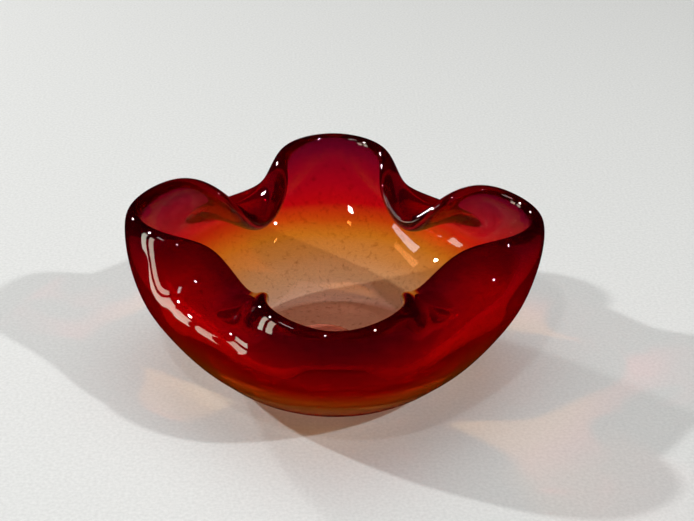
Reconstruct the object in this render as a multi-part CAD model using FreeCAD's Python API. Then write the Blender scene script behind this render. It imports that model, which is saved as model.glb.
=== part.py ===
import FreeCAD, Part
import math
import os

# Heavy art glass bowl, millimetres, +Z up. The ground foot lies on z = 0 with its centre at the origin.
# Four rounded lobes point along +X, +Y, -X and -Y, and four folds are pinched in between them.
# The glass is one wall that runs from the foot up the outside, over the rounded rim and down the
# inside to the floor. It is one smooth surface, and its colour zones are cut from it as solids that
# meet face to face: an amber base, a ruby wall and a plum rim.

os.makedirs("parts", exist_ok=True)

# ---- driving dimensions ----
RIM_THICKNESS = 10.0
WALL_THICKNESS = 9.5
FLOOR_THICKNESS = 11.0
LOBE_HEIGHT = 64.0  # middle of the rim's roll at the tip of an average lobe
PINCH_DROP = 20.0  # how far the pinched folds hang below the lobes

# Control points of the rim's middle line for one lobe, from the origin: (out, aside, up from the tip).
LOBE_TIP = (92.5, 0.0, 0.0)
LOBE_SHOULDER = (68.5, 29.5, 3.0)
LOBE_FLANK = (48.5, 24.0, -2.0)
PINCH_RADIUS = 47.5
FOLD_LEAN = 80.0  # degrees by which the roll leans in over the bowl in the middle of a fold

# The bowl is hand worked, so no two lobes or folds are quite alike.
# Each lobe, counter-clockwise from +X: (turn in degrees, further out, wider on each side, higher,
# flank before it higher, flank after it higher).
LOBES = [
    (4.5, 0.5, -0.5, -1.0, 0.0, 3.0),
    (-0.5, 1.0, -2.0, -0.5, 0.0, 0.0),
    (-1.0, -1.5, 1.0, 3.0, 3.0, 0.0),
    (-0.5, 1.0, 3.0, -2.5, 0.0, 0.0),
]
# The fold after each lobe, counter-clockwise: (turn in degrees, further out, higher).
PINCHES = [
    (-2.0, -1.5, 0.5),
    (0.0, -0.5, -1.0),
    (-3.0, 4.0, 2.5),
    (3.5, 1.0, 3.5),
]

# Control rings of the outer wall, foot first: (radius, height) towards a lobe, (radius, height) at a
# fold, and how far the ring's points have turned from an even spacing to the rim's.
RINGS = [
    ((33.0, 0.0), (33.0, 0.0), 0.0),
    ((40.0, 0.0), (40.0, 0.0), 0.0),
    ((50.0, 4.2), (50.0, 4.2), 0.0),
    ((59.0, 14.0), (59.0, 14.0), 0.0),
    ((71.5, 26.0), (71.5, 26.0), 0.1),
    ((85.0, 42.0), (81.0, 57.0), 0.4),
]
LIP_DEPTH = 8.0  # from the rim's middle line down to where the roll joins the wall
ROLL_WIDTH = 0.42  # half width of the roll's crown, as a share of the rim's thickness
ROLL_RISE = 0.62  # height of the crown's control points, as a share of the rim's thickness
FLOOR_DISC = 0.3  # size of the flat middle of the inner floor, as a share of the foot

# The dish ground into the foot where the pontil rod was broken off: its middle, radius and depth.
PONTIL = (-4.0, 4.0)
PONTIL_RADIUS = 16.0
PONTIL_DEPTH = 1.6

# Where the colours change, counted in control rings from the foot.
AMBER_TOP = 3.3
RUBY_TOP = 5.1

# ---- layout of the control net ----
COLUMN_TURNS = (-30, -15, 0, 15, 30, 45)  # flank, shoulder, tip, shoulder, flank, pinch
COLUMN_FOLDS = (0.6, 0.1, 0.0, 0.1, 0.6, 1.0)  # how much of a fold's depth and lean each column has
COLUMNS = 4 * len(COLUMN_TURNS)
DEGREE = 3


def around(degrees):
    """Unit vector in plan at an angle from +X."""
    angle = math.radians(degrees)
    return FreeCAD.Vector(math.cos(angle), math.sin(angle), 0)


def plan(point):
    """The point dropped onto z = 0."""
    return FreeCAD.Vector(point.x, point.y, 0)


def raised(point, height):
    """The point's plan position at a height."""
    return FreeCAD.Vector(point.x, point.y, height)


def rim_line():
    """Control points of the rim's middle line, one for each column."""
    points = []
    for index, (turn, further, wider, higher, before, after) in enumerate(LOBES):
        heading = 90 * index + turn
        out = around(heading)
        aside = around(heading + 90)
        tip_height = LOBE_HEIGHT + higher
        pinch_turn, pinch_out, pinch_up = PINCHES[index]
        before += PINCHES[index - 1][2] / 2
        after += pinch_up / 2
        for side, shape, lift in (
            (-1, LOBE_FLANK, before),
            (-1, LOBE_SHOULDER, before / 2),
            (0, LOBE_TIP, 0),
            (1, LOBE_SHOULDER, after / 2),
            (1, LOBE_FLANK, after),
        ):
            reach, width, rise = shape
            stretch = further / 2 if shape is LOBE_FLANK else further
            spot = out * (reach + stretch) + aside * side * (width + wider)
            points.append(raised(spot, tip_height + rise + lift))
        pinch = around(90 * index + 45 + pinch_turn) * (PINCH_RADIUS + pinch_out)
        points.append(raised(pinch, LOBE_HEIGHT - PINCH_DROP + pinch_up))
    return points


def outward(line):
    """Plan normals of a closed line of points that runs counter-clockwise."""
    normals = []
    for index in range(len(line)):
        along = plan(line[(index + 1) % len(line)] - line[index - 1])
        normals.append(FreeCAD.Vector(along.y, -along.x, 0).normalize())
    return normals


def roll_axes(rim):
    """For each column, the directions out across the roll and up the wall to its crown."""
    axes = []
    for column, normal in enumerate(outward(rim)):
        lean = math.radians(FOLD_LEAN * COLUMN_FOLDS[column % len(COLUMN_TURNS)])
        rise = FreeCAD.Vector(0, 0, 1)
        out = normal * math.cos(lean) + rise * math.sin(lean)
        up = rise * math.cos(lean) - normal * math.sin(lean)
        axes.append((out, up))
    return axes


def roll_row(rim, width, climb):
    """Control row beside the rim's middle line, outside it by a width and above it by a climb."""
    return [point + out * width + up * climb for point, (out, up) in zip(rim, roll_axes(rim))]


def outer_rows(rim):
    """Control rows of the outside: the rings, then the foot of the roll and its crown."""
    # A closed cubic spline runs inside its control points, so a round ring's points stand out a little.
    standoff = 3 / (2 + math.cos(2 * math.pi / COLUMNS))
    rows = []
    for (lobe_radius, lobe_height), (fold_radius, fold_height), turned in RINGS:
        row = []
        for column in range(COLUMNS):
            lobe, kind = divmod(column, len(COLUMN_TURNS))
            fold = COLUMN_FOLDS[kind]
            radius = lobe_radius * (1 - fold) + fold_radius * fold
            height = lobe_height * (1 - fold) + fold_height * fold
            even = around(90 * lobe + COLUMN_TURNS[kind])
            heading = (even * (1 - turned) + plan(rim[column]).normalize() * turned).normalize()
            row.append(raised(heading * radius * standoff, height))
        rows.append(row)
    rows.append(roll_row(rim, RIM_THICKNESS / 2, -LIP_DEPTH))
    rows.append(roll_row(rim, RIM_THICKNESS * ROLL_WIDTH, RIM_THICKNESS * ROLL_RISE))
    return rows


def inner_rows(rim, outside):
    """Control rows of the inside, crown first: the outer rows moved in by the wall's thickness."""
    between = (FLOOR_THICKNESS + WALL_THICKNESS) / 2
    depths = [FLOOR_THICKNESS, FLOOR_THICKNESS, between, WALL_THICKNESS, WALL_THICKNESS, WALL_THICKNESS]
    rows = [
        roll_row(rim, -RIM_THICKNESS * ROLL_WIDTH, RIM_THICKNESS * ROLL_RISE),
        roll_row(rim, -RIM_THICKNESS / 2, -LIP_DEPTH),
    ]
    for index in range(len(RINGS) - 1, 0, -1):
        row = []
        for column in range(COLUMNS):
            following = outside[index][(column + 1) % COLUMNS] - outside[index][column - 1]
            climbing = outside[index + 1][column] - outside[index - 1][column]
            normal = following.cross(climbing).normalize()
            row.append(outside[index][column] - normal * depths[index])
        rows.append(row)
    floor_edge = [raised(point, FLOOR_THICKNESS) for point in outside[0]]
    rows.append(floor_edge)
    rows.append([raised(point * FLOOR_DISC, FLOOR_THICKNESS) for point in floor_edge])
    return rows


def round_surface(rows, rising_degree):
    """Smooth surface through closed control rows: U runs round the bowl, V from the first row to the last."""
    spans = len(rows) - rising_degree
    ends = [rising_degree + 1]
    surface = Part.BSplineSurface()
    surface.buildFromPolesMultsKnots(
        [[row[column] for row in rows] for column in range(COLUMNS)],
        [1] * (COLUMNS + 1),
        ends + [1] * (spans - 1) + ends,
        list(range(COLUMNS + 1)),
        list(range(spans + 1)),
        True,
        False,
        DEGREE,
        rising_degree,
    )
    return surface


def glass_skin():
    """The whole wall as one surface, from the foot's edge to the flat middle of the floor."""
    rim = rim_line()
    outside = outer_rows(rim)
    return round_surface(outside + inner_rows(rim, outside), DEGREE)


def across(skin, place):
    """The V parameter on the inside that faces a place on the outside."""
    return skin.VKnotSequence[-1] - 1 - place


def band(skin, low, high):
    """The stretch of the skin between two V parameters."""
    return skin.toShape(0, COLUMNS, low, high)


def seam(skin, place):
    """The ruled face through the wall where one colour meets the next."""
    outside = skin.vIso(place).getPoles()
    inside = skin.vIso(across(skin, place)).getPoles()
    return round_surface([outside, inside], 1).toShape()


def disc(skin, place):
    """The flat face inside the closed curve at one V parameter."""
    return Part.Face(Part.Wire(skin.vIso(place).toShape()))


def solid_of(faces):
    """Sews faces that close a space into one solid."""
    shell = Part.Shell(faces)
    shell.sewShape()
    solid = Part.Solid(shell)
    if solid.Volume < 0:
        solid.reverse()
    return solid


def pontil_ball():
    """The ball whose top cap grinds the shallow dish into the foot."""
    radius = (PONTIL_RADIUS**2 + PONTIL_DEPTH**2) / (2 * PONTIL_DEPTH)
    return Part.makeSphere(radius, FreeCAD.Vector(*PONTIL, PONTIL_DEPTH - radius))


def amber_base(skin):
    """Foot with its pontil dish, lower wall and floor."""
    floor = skin.VKnotSequence[-1]
    outside = band(skin, 0, AMBER_TOP)
    inside = band(skin, across(skin, AMBER_TOP), floor)
    base = solid_of([disc(skin, 0), outside, seam(skin, AMBER_TOP), inside, disc(skin, floor)])
    return base.cut(pontil_ball())


def ruby_wall(skin):
    """The wall between the base and the rim."""
    outside = band(skin, AMBER_TOP, RUBY_TOP)
    inside = band(skin, across(skin, RUBY_TOP), across(skin, AMBER_TOP))
    return solid_of([seam(skin, AMBER_TOP), outside, seam(skin, RUBY_TOP), inside])


def plum_rim(skin):
    """The rounded roll along the top."""
    return solid_of([seam(skin, RUBY_TOP), band(skin, RUBY_TOP, across(skin, RUBY_TOP))])


glass = glass_skin()
nodes = {
    "amber_base": amber_base(glass),
    "ruby_wall": ruby_wall(glass),
    "plum_rim": plum_rim(glass),
}
for name, shape in nodes.items():
    shape.exportStep(f"parts/{name}.step")
    box = shape.optimalBoundingBox()
    print(
        f"{name}: valid {shape.isValid()}, {shape.Volume / 1000:.1f} cm3, "
        f"x {box.XMin:.1f} to {box.XMax:.1f}, y {box.YMin:.1f} to {box.YMax:.1f}, "
        f"z {box.ZMin:.1f} to {box.ZMax:.1f}"
    )
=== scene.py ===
import bpy
import math
from mathutils import Matrix, Vector


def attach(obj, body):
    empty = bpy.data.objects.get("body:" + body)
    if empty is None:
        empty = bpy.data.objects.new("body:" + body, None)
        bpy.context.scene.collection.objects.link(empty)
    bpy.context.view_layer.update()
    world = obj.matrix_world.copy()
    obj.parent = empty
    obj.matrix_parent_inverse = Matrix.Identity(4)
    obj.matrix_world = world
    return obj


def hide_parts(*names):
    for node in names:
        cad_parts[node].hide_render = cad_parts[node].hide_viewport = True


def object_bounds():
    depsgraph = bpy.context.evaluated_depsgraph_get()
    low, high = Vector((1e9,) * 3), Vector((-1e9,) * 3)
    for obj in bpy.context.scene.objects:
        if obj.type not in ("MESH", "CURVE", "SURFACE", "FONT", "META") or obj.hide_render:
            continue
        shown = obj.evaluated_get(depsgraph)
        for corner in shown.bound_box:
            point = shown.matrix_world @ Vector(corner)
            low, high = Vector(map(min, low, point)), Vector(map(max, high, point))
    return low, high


# Looks for the art glass bowl, in metres, in the CAD frame: the ground foot is centred on the origin.
# The glass is drawn as one skin, because real glass has no inner walls where its colour changes.

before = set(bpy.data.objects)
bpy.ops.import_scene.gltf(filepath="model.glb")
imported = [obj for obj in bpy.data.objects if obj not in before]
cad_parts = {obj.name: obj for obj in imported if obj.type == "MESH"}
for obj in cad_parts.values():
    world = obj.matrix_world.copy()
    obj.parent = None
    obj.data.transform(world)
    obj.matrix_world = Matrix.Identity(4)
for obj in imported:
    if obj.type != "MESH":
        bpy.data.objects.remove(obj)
CAD_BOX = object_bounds()

MM = 0.001

# ---- the wall, as in the CAD model ----
RIM_THICKNESS = 10.0 * MM
WALL_THICKNESS = 9.5 * MM
FLOOR_THICKNESS = 11.0 * MM
LOBE_HEIGHT = 64.0 * MM
PINCH_DROP = 20.0 * MM
PINCH_RADIUS = 47.5 * MM
FOLD_LEAN = 80.0

# Control points of the rim's middle line for one lobe, in mm: (out, aside, up from the tip).
LOBE_TIP = (92.5, 0.0, 0.0)
LOBE_SHOULDER = (68.5, 29.5, 3.0)
LOBE_FLANK = (48.5, 24.0, -2.0)

# Each lobe, counter-clockwise from +X: (turn in degrees, further out, wider on each side, higher,
# flank before it higher, flank after it higher).
LOBES = [
    (4.5, 0.5, -0.5, -1.0, 0.0, 3.0),
    (-0.5, 1.0, -2.0, -0.5, 0.0, 0.0),
    (-1.0, -1.5, 1.0, 3.0, 3.0, 0.0),
    (-0.5, 1.0, 3.0, -2.5, 0.0, 0.0),
]
# The fold after each lobe: (turn in degrees, mm further out, mm higher).
PINCHES = [
    (-2.0, -1.5, 0.5),
    (0.0, -0.5, -1.0),
    (-3.0, 4.0, 2.5),
    (3.5, 1.0, 3.5),
]
# Control rings of the outer wall: (radius, height) in mm at a lobe, the same at a fold, and the turn.
RINGS = [
    ((33.0, 0.0), (33.0, 0.0), 0.0),
    ((40.0, 0.0), (40.0, 0.0), 0.0),
    ((50.0, 4.2), (50.0, 4.2), 0.0),
    ((59.0, 14.0), (59.0, 14.0), 0.0),
    ((71.5, 26.0), (71.5, 26.0), 0.1),
    ((85.0, 42.0), (81.0, 57.0), 0.4),
]
LIP_DEPTH = 8.0 * MM
ROLL_WIDTH = 0.42
ROLL_RISE = 0.62
FLOOR_DISC = 0.3
COLUMN_TURNS = (-30, -15, 0, 15, 30, 45)
COLUMN_FOLDS = (0.6, 0.1, 0.0, 0.1, 0.6, 1.0)
COLUMNS = 4 * len(COLUMN_TURNS)
DEGREE = 3

# ---- fineness of the mesh ----
STEPS_ROUND = 360
STEPS_RISING = 190

# ---- the dish ground into the foot, in mm: its middle, radius and depth ----
PONTIL = (-4.0, 4.0)
PONTIL_RADIUS = 16.0
PONTIL_DEPTH = 1.6
PONTIL_RINGS = 16

# ---- colours, linear: how the whole wall tints light that crosses it ----
# Places along the climb from the foot, 0, to the crown of the rim, 1.
GLASS_COLOURS = [
    (0.00, (1.00, 0.84, 0.64)),
    (0.06, (1.00, 0.82, 0.60)),
    (0.14, (1.00, 0.74, 0.47)),
    (0.25, (1.00, 0.62, 0.28)),
    (0.36, (0.96, 0.44, 0.10)),
    (0.44, (0.92, 0.32, 0.02)),
    (0.50, (0.86, 0.10, 0.006)),
    (0.56, (0.74, 0.004, 0.007)),
    (0.64, (0.57, 0.002, 0.014)),
    (0.74, (0.40, 0.002, 0.018)),
    (0.84, (0.20, 0.002, 0.024)),
    (1.00, (0.13, 0.003, 0.024)),
]
# A trace of haze on the outside: (way along the skin, share of the light that passes clear).
CLEAR_SHARES = [(0.0, 1.0), (0.10, 1.0), (0.17, 0.82), (0.42, 0.82), (0.52, 1.0)]
# The colour's power on each side of the wall, which stands in for colour all through the glass.
# They add up to 2, because the shader tints by the square root and light crosses each side once.
OUTSIDE_POWER = 1.35
INSIDE_POWER = 0.65
# Light lost along the way inside the glass.
DEPTH_COLOUR = (0.98, 0.35, 0.35)
DEPTH_DENSITY = 32.0
GLASS_IOR = 1.5

# ---- fine detail of the glass: noises as (scale, detail, distortion) ----
# Cloudy streaks shift the colours along the skin by up to this much, both ways.
STREAK_NOISE = (22.0, 3.0, 0.0)
STREAK_SHIFT = 0.012
# Specks and seeds: noise below the second stop darkens the tint.
SPECK_NOISE = (420.0, 2.0, 0.6)
SPECK_TINTS = [(0.27, (0.66, 0.56, 0.50)), (0.41, (1.0, 1.0, 1.0))]
# Waves and swirls left in the surface by hand working.
WAVE_NOISE = (38.0, 4.0, 1.6)
WAVE_STRENGTH = 0.12
WAVE_HEIGHT = 0.4 * MM

# ---- the table: half its width, its gap below the foot, and its paper grain ----
TABLE_HALF = 3.0
TABLE_GAP = 0.2 * MM
GRAIN_NOISE = (700.0, 3.0, 0.0)
GRAIN_COLOURS = [(0.3, (0.635, 0.64, 0.625)), (0.7, (0.725, 0.73, 0.715))]
TABLE_ROUGHNESS = 0.75
TABLE_GLOSS = 0.2

# ---- the room: an even glow, and the point that the lights face, in metres ----
ROOM_COLOUR = (0.96, 0.97, 0.94)
ROOM_GLOW = 0.08
LIGHTS_AIM = (0, 0, 0.03)

# ---- the camera: what it looks at, and from where, in mm and degrees ----
CAMERA_TARGET = (5.5, 0.0, 50.2)
CAMERA_DISTANCE = 603.0
CAMERA_ELEVATION = 29.2
CAMERA_AZIMUTH = -1.9
CAMERA_ROLL = 1.27
CAMERA_LENS = 74.4
CAMERA_SENSOR = 36.0

# ---- how many times light may bounce: in all, through glass and off gloss ----
BOUNCES = 32
GLASS_BOUNCES = 24
GLOSS_BOUNCES = 12


def around(degrees):
    """Unit vector in plan at an angle from +X."""
    angle = math.radians(degrees)
    return Vector((math.cos(angle), math.sin(angle), 0))


def plan(point):
    return Vector((point.x, point.y, 0))


def raised(point, height):
    return Vector((point.x, point.y, height))


def rim_line():
    """Control points of the rim's middle line, one for each column."""
    points = []
    for index, (turn, further, wider, higher, before, after) in enumerate(LOBES):
        heading = 90 * index + turn
        out = around(heading)
        aside = around(heading + 90)
        tip_height = LOBE_HEIGHT + higher * MM
        pinch_turn, pinch_out, pinch_up = PINCHES[index]
        before += PINCHES[index - 1][2] / 2
        after += pinch_up / 2
        for side, shape, lift in (
            (-1, LOBE_FLANK, before),
            (-1, LOBE_SHOULDER, before / 2),
            (0, LOBE_TIP, 0),
            (1, LOBE_SHOULDER, after / 2),
            (1, LOBE_FLANK, after),
        ):
            reach, width, rise = shape
            stretch = further / 2 if shape is LOBE_FLANK else further
            spot = out * (reach + stretch) * MM + aside * side * (width + wider) * MM
            points.append(raised(spot, tip_height + (rise + lift) * MM))
        pinch = around(90 * index + 45 + pinch_turn) * (PINCH_RADIUS + pinch_out * MM)
        points.append(raised(pinch, LOBE_HEIGHT - PINCH_DROP + pinch_up * MM))
    return points


def outward(line):
    """Plan normals of a closed line of points that runs counter-clockwise."""
    normals = []
    for index in range(len(line)):
        along = plan(line[(index + 1) % len(line)] - line[index - 1])
        normals.append(Vector((along.y, -along.x, 0)).normalized())
    return normals


def roll_axes(rim):
    """For each column, the directions out across the roll and up the wall to its crown."""
    axes = []
    for column, normal in enumerate(outward(rim)):
        lean = math.radians(FOLD_LEAN * COLUMN_FOLDS[column % len(COLUMN_TURNS)])
        rise = Vector((0, 0, 1))
        out = normal * math.cos(lean) + rise * math.sin(lean)
        up = rise * math.cos(lean) - normal * math.sin(lean)
        axes.append((out, up))
    return axes


def roll_row(rim, width, climb):
    """Control row beside the rim's middle line, outside it by a width and above it by a climb."""
    return [point + out * width + up * climb for point, (out, up) in zip(rim, roll_axes(rim))]


def outer_rows(rim):
    """Control rows of the outside: the rings, then the foot of the roll and its crown."""
    # A closed spline runs inside its control points, so they stand this far out.
    standoff = 3 / (2 + math.cos(2 * math.pi / COLUMNS)) * MM
    rows = []
    for (lobe_radius, lobe_height), (fold_radius, fold_height), turned in RINGS:
        row = []
        for column in range(COLUMNS):
            lobe, kind = divmod(column, len(COLUMN_TURNS))
            fold = COLUMN_FOLDS[kind]
            radius = lobe_radius * (1 - fold) + fold_radius * fold
            height = lobe_height * (1 - fold) + fold_height * fold
            even = around(90 * lobe + COLUMN_TURNS[kind])
            heading = (even * (1 - turned) + plan(rim[column]).normalized() * turned).normalized()
            row.append(raised(heading * radius * standoff, height * MM))
        rows.append(row)
    rows.append(roll_row(rim, RIM_THICKNESS / 2, -LIP_DEPTH))
    rows.append(roll_row(rim, RIM_THICKNESS * ROLL_WIDTH, RIM_THICKNESS * ROLL_RISE))
    return rows


def inner_rows(rim, outside):
    """Control rows of the inside, crown first: the outer rows moved in by the wall's thickness."""
    between = (FLOOR_THICKNESS + WALL_THICKNESS) / 2
    depths = [FLOOR_THICKNESS, FLOOR_THICKNESS, between, WALL_THICKNESS, WALL_THICKNESS, WALL_THICKNESS]
    rows = [
        roll_row(rim, -RIM_THICKNESS * ROLL_WIDTH, RIM_THICKNESS * ROLL_RISE),
        roll_row(rim, -RIM_THICKNESS / 2, -LIP_DEPTH),
    ]
    for index in range(len(RINGS) - 1, 0, -1):
        row = []
        for column in range(COLUMNS):
            following = outside[index][(column + 1) % COLUMNS] - outside[index][column - 1]
            climbing = outside[index + 1][column] - outside[index - 1][column]
            normal = following.cross(climbing).normalized()
            row.append(outside[index][column] - normal * depths[index])
        rows.append(row)
    floor_edge = [raised(point, FLOOR_THICKNESS) for point in outside[0]]
    rows.append(floor_edge)
    rows.append([raised(point * FLOOR_DISC, FLOOR_THICKNESS) for point in floor_edge])
    return rows


def spline_weights(place, count):
    """Cubic spline weights of a row of control points with both ends held: {index: weight}."""
    spans = count - DEGREE
    knots = [0] * DEGREE + list(range(spans + 1)) + [spans] * DEGREE
    span = min(int(place), spans - 1) + DEGREE
    weights = [1.0]
    for degree in range(1, DEGREE + 1):
        grown = [0.0] * (degree + 1)
        for step, weight in enumerate(weights):
            low = knots[span - degree + 1 + step]
            high = knots[span + 1 + step]
            share = (place - low) / (high - low)
            grown[step] += weight * (1 - share)
            grown[step + 1] += weight * share
        weights = grown
    return {span - DEGREE + step: weight for step, weight in enumerate(weights)}


def ring_weights(place):
    """Cubic spline weights of a closed row of control points: {index: weight}."""
    start = math.floor(place)
    t = place - start
    weights = (
        (1 - t) ** 3 / 6,
        (3 * t**3 - 6 * t**2 + 4) / 6,
        (-3 * t**3 + 3 * t**2 + 3 * t + 1) / 6,
        t**3 / 6,
    )
    return {(start - 1 + step) % COLUMNS: weight for step, weight in enumerate(weights)}


def glass_rings():
    """Rings of points from the foot over the rim to the floor, each with its way along the skin."""
    rim = rim_line()
    outside = outer_rows(rim)
    rows = outside + inner_rows(rim, outside)
    spans = len(rows) - DEGREE
    turns = [ring_weights(COLUMNS * step / STEPS_ROUND) for step in range(STEPS_ROUND)]
    rings = []
    for step in range(STEPS_RISING + 1):
        place = spans * step / STEPS_RISING
        row = [Vector((0, 0, 0)) for column in range(COLUMNS)]
        for index, weight in spline_weights(place, len(rows)).items():
            row = [sofar + point * weight for sofar, point in zip(row, rows[index])]
        ring = [sum((row[i] * w for i, w in turn.items()), Vector((0, 0, 0))) for turn in turns]
        rings.append((ring, min(place / (spans - 1), 1.0)))
    return rings


def pontil_rings():
    """Rings of the ground dish, from near its middle out to its edge."""
    ball = (PONTIL_RADIUS**2 + PONTIL_DEPTH**2) / (2 * PONTIL_DEPTH)
    middle = Vector((*PONTIL, 0))
    turns = [around(360 * turn / STEPS_ROUND) for turn in range(STEPS_ROUND)]
    rings = []
    for step in range(1, PONTIL_RINGS + 1):
        radius = PONTIL_RADIUS * step / PONTIL_RINGS
        height = math.sqrt(ball**2 - radius**2) - (ball - PONTIL_DEPTH)
        ring = [raised(middle + turn * radius, height) * MM for turn in turns]
        rings.append((ring, 0.0))
    return rings


def skin_faces(rings):
    """Quads between the rings, and a fan over the foot and the floor."""
    faces = []
    for ring in range(len(rings) - 1):
        for step in range(STEPS_ROUND):
            following = (step + 1) % STEPS_ROUND
            low = ring * STEPS_ROUND
            high = low + STEPS_ROUND
            faces.append((low + step, low + following, high + following, high + step))
    foot_middle = len(rings) * STEPS_ROUND
    floor_middle = foot_middle + 1
    last = foot_middle - STEPS_ROUND
    for step in range(STEPS_ROUND):
        following = (step + 1) % STEPS_ROUND
        faces.append((foot_middle, following, step))
        faces.append((floor_middle, last + step, last + following))
    return faces


def make_glass(material):
    """The bowl's glass as one closed mesh."""
    rings = pontil_rings() + glass_rings()
    points = [point for ring, way in rings for point in ring]
    ways = [way for ring, way in rings for point in ring]
    points += [Vector((*PONTIL, PONTIL_DEPTH)) * MM, Vector((0, 0, FLOOR_THICKNESS))]
    ways += [0.0, 1.0]
    mesh = bpy.data.meshes.new("bowl_glass")
    mesh.from_pydata(points, [], skin_faces(rings))
    mesh.attributes.new("way", "FLOAT", "POINT").data.foreach_set("value", ways)
    mesh.polygons.foreach_set("use_smooth", [True] * len(mesh.polygons))
    dish_edge = range((PONTIL_RINGS - 1) * STEPS_ROUND, PONTIL_RINGS * STEPS_ROUND)
    for edge in mesh.edges:
        if edge.vertices[0] in dish_edge and edge.vertices[1] in dish_edge:
            edge.use_edge_sharp = True
    mesh.materials.append(material)
    bowl = bpy.data.objects.new("bowl_glass", mesh)
    bpy.context.collection.objects.link(bowl)
    bowl.cycles.is_caustics_caster = True
    return bowl


def new_material(name):
    material = bpy.data.materials.new(name)
    material.use_nodes = True
    nodes = material.node_tree.nodes
    return material, nodes, material.node_tree.links, nodes["Principled BSDF"]


def skin_tints():
    """Colour stops along the skin: up the outside, over the crown at 0.5 and down the inside."""
    stops = []
    for climb, colour in GLASS_COLOURS:
        stops.append((climb / 2, [channel**OUTSIDE_POWER for channel in colour]))
    for climb, colour in reversed(GLASS_COLOURS[:-1]):
        stops.append((1 - climb / 2, [channel**INSIDE_POWER for channel in colour]))
    return stops


def set_stops(ramp, colours):
    """Set a ramp's stops from (position, colour) pairs."""
    stops = ramp.color_ramp.elements
    while len(stops) < len(colours):
        stops.new(0.5)
    for stop, (position, colour) in zip(stops, colours):
        stop.position = position
        stop.color = (*colour, 1)


def add_noise(nodes, links, size):
    """Noise over the object's own coordinates, as (scale, detail, distortion)."""
    place = nodes.new("ShaderNodeTexCoord")
    noise = nodes.new("ShaderNodeTexNoise")
    for name, value in zip(("Scale", "Detail", "Distortion"), size):
        noise.inputs[name].default_value = value
    links.new(place.outputs["Object"], noise.inputs["Vector"])
    return noise.outputs["Fac"]


def add_ramp(nodes, links, position, colours):
    """Colour read from a ramp at a position."""
    ramp = nodes.new("ShaderNodeValToRGB")
    set_stops(ramp, colours)
    links.new(position, ramp.inputs["Fac"])
    return ramp.outputs["Color"]


def glass_material():
    """Clear glass whose colour runs from an amber foot through ruby to a plum rim."""
    material, nodes, links, shader = new_material("struck_glass")
    way = nodes.new("ShaderNodeAttribute")
    way.attribute_name = "way"

    # The streaks' noise, 0 to 1, moves the place that the tint is read from.
    shift = nodes.new("ShaderNodeMath")
    shift.operation = "MULTIPLY_ADD"
    shift.inputs[1].default_value = 2 * STREAK_SHIFT
    shift.inputs[2].default_value = -STREAK_SHIFT
    links.new(add_noise(nodes, links, STREAK_NOISE), shift.inputs[0])
    shifted = nodes.new("ShaderNodeMath")
    shifted.operation = "ADD"
    links.new(way.outputs["Fac"], shifted.inputs[0])
    links.new(shift.outputs["Value"], shifted.inputs[1])

    specked = nodes.new("ShaderNodeMix")
    specked.data_type = "RGBA"
    specked.blend_type = "MULTIPLY"
    specked.inputs["Factor"].default_value = 1.0
    tint = add_ramp(nodes, links, shifted.outputs["Value"], skin_tints())
    specks = add_ramp(nodes, links, add_noise(nodes, links, SPECK_NOISE), SPECK_TINTS)
    links.new(tint, specked.inputs["A"])
    links.new(specks, specked.inputs["B"])
    links.new(specked.outputs["Result"], shader.inputs["Base Color"])

    bump = nodes.new("ShaderNodeBump")
    bump.inputs["Strength"].default_value = WAVE_STRENGTH
    bump.inputs["Distance"].default_value = WAVE_HEIGHT
    links.new(add_noise(nodes, links, WAVE_NOISE), bump.inputs["Height"])
    links.new(bump.outputs["Normal"], shader.inputs["Normal"])

    shares = [(position, [share] * 3) for position, share in CLEAR_SHARES]
    clear = add_ramp(nodes, links, way.outputs["Fac"], shares)
    links.new(clear, shader.inputs["Transmission Weight"])
    shader.inputs["Roughness"].default_value = 0.0
    shader.inputs["IOR"].default_value = GLASS_IOR
    absorption = nodes.new("ShaderNodeVolumeAbsorption")
    absorption.inputs["Color"].default_value = (*DEPTH_COLOUR, 1)
    absorption.inputs["Density"].default_value = DEPTH_DENSITY
    links.new(absorption.outputs["Volume"], nodes["Material Output"].inputs["Volume"])
    return material


def floor_material():
    """Pale matt tabletop with a fine paper grain."""
    material, nodes, links, shader = new_material("table")
    grain = add_ramp(nodes, links, add_noise(nodes, links, GRAIN_NOISE), GRAIN_COLOURS)
    links.new(grain, shader.inputs["Base Color"])
    shader.inputs["Roughness"].default_value = TABLE_ROUGHNESS
    shader.inputs["Specular IOR Level"].default_value = TABLE_GLOSS
    return material


def make_floor():
    """A wide pale table that the bowl stands on, and which fills the view."""
    half = TABLE_HALF
    mesh = bpy.data.meshes.new("table")
    corners = [(-half, -half, 0), (half, -half, 0), (half, half, 0), (-half, half, 0)]
    mesh.from_pydata(corners, [], [(0, 1, 2, 3)])
    mesh.materials.append(floor_material())
    floor = bpy.data.objects.new("table", mesh)
    bpy.context.collection.objects.link(floor)
    floor.location.z = CAD_BOX[0].z - TABLE_GAP
    # As through a polarising filter, the table does not show in the gloss.
    floor.visible_glossy = False
    floor.cycles.is_caustics_receiver = True


def looking(position, target):
    """Rotation that points an object's -Z from a position to a target, with +Y up."""
    return (Vector(target) - Vector(position)).to_track_quat("-Z", "Y")


def make_light(name, bearing, elevation, distance, size, power, colour=(1, 1, 1)):
    """A rectangular light facing the bowl: bearing from +X and elevation in degrees, size in metres."""
    lamp = bpy.data.lights.new(name, "AREA")
    lamp.shape = "RECTANGLE"
    lamp.size, lamp.size_y = size
    lamp.energy = power
    lamp.color = colour
    light = bpy.data.objects.new(name, lamp)
    bpy.context.collection.objects.link(light)
    height = math.radians(elevation)
    middle = Vector(LIGHTS_AIM)
    light.location = middle + raised(around(bearing) * math.cos(height), math.sin(height)) * distance
    light.rotation_mode = "QUATERNION"
    light.rotation_quaternion = looking(light.location, middle)
    return light


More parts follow.
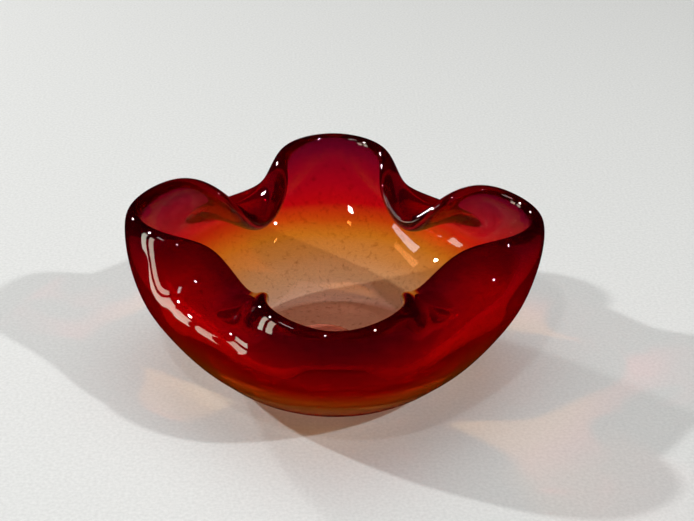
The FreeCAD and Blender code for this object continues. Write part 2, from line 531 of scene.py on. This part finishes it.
def make_lights():
    """A dim even room, four small lamps, a softbox, and cards that only show in the gloss."""
    world = bpy.data.worlds.new("room")
    bpy.context.scene.world = world
    world.use_nodes = True
    background = world.node_tree.nodes["Background"]
    background.inputs["Color"].default_value = (*ROOM_COLOUR, 1)
    background.inputs["Strength"].default_value = ROOM_GLOW
    world.cycles_visibility.glossy = False
    lamps = [
        make_light("lamp_right", 327, 42, 2.0, (0.06, 0.06), 16.0),
        make_light("lamp_front", 252, 54, 1.0, (0.04, 0.04), 1.0),
        make_light("lamp_left", 172, 34, 2.0, (0.06, 0.06), 20.0),
        make_light("lamp_back", 134, 21, 2.0, (0.10, 0.10), 11.0),
    ]
    for lamp in lamps:
        lamp.data.cycles.is_caustics_light = True
    softbox = make_light("softbox", 90, 86, 1.6, (1.6, 1.6), 11.5)
    softbox.visible_glossy = False
    cards = [
        make_light("window_pane_a", 177, 3, 1.5, (0.22, 0.90), 4.2, (0.95, 1.0, 0.82)),
        make_light("window_pane_b", 190, 3, 1.5, (0.22, 0.90), 4.2, (1.0, 0.96, 0.76)),
        make_light("panel", 199, 40, 1.5, (0.42, 0.16), 1.5),
    ]
    for card in cards:
        card.visible_diffuse = False


def make_camera():
    """Looks down on the bowl from the front."""
    target = Vector(CAMERA_TARGET) * MM
    distance = CAMERA_DISTANCE * MM
    elevation = math.radians(CAMERA_ELEVATION)
    azimuth = math.radians(CAMERA_AZIMUTH)
    roll = math.radians(CAMERA_ROLL)
    back = Vector(
        (
            math.sin(azimuth) * math.cos(elevation),
            -math.cos(azimuth) * math.cos(elevation),
            math.sin(elevation),
        )
    )
    right = (-back).cross(Vector((0, 0, 1))).normalized()
    up = back.cross(right)
    rolled_right = right * math.cos(roll) + up * math.sin(roll)
    rolled_up = up * math.cos(roll) - right * math.sin(roll)
    turn = Matrix((rolled_right, rolled_up, back)).transposed()
    lens = bpy.data.cameras.new("camera")
    lens.sensor_width = CAMERA_SENSOR
    lens.lens = CAMERA_LENS
    camera = bpy.data.objects.new("camera", lens)
    bpy.context.collection.objects.link(camera)
    camera.matrix_world = Matrix.Translation(target + back * distance) @ turn.to_4x4()
    bpy.context.scene.camera = camera


bowl = make_glass(glass_material())
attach(bowl, "root")
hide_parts("amber_base", "ruby_wall", "plum_rim")
make_floor()
make_lights()
make_camera()

scene = bpy.context.scene
scene.view_settings.view_transform = "Standard"
scene.cycles.max_bounces = BOUNCES
scene.cycles.transmission_bounces = GLASS_BOUNCES
scene.cycles.glossy_bounces = GLOSS_BOUNCES
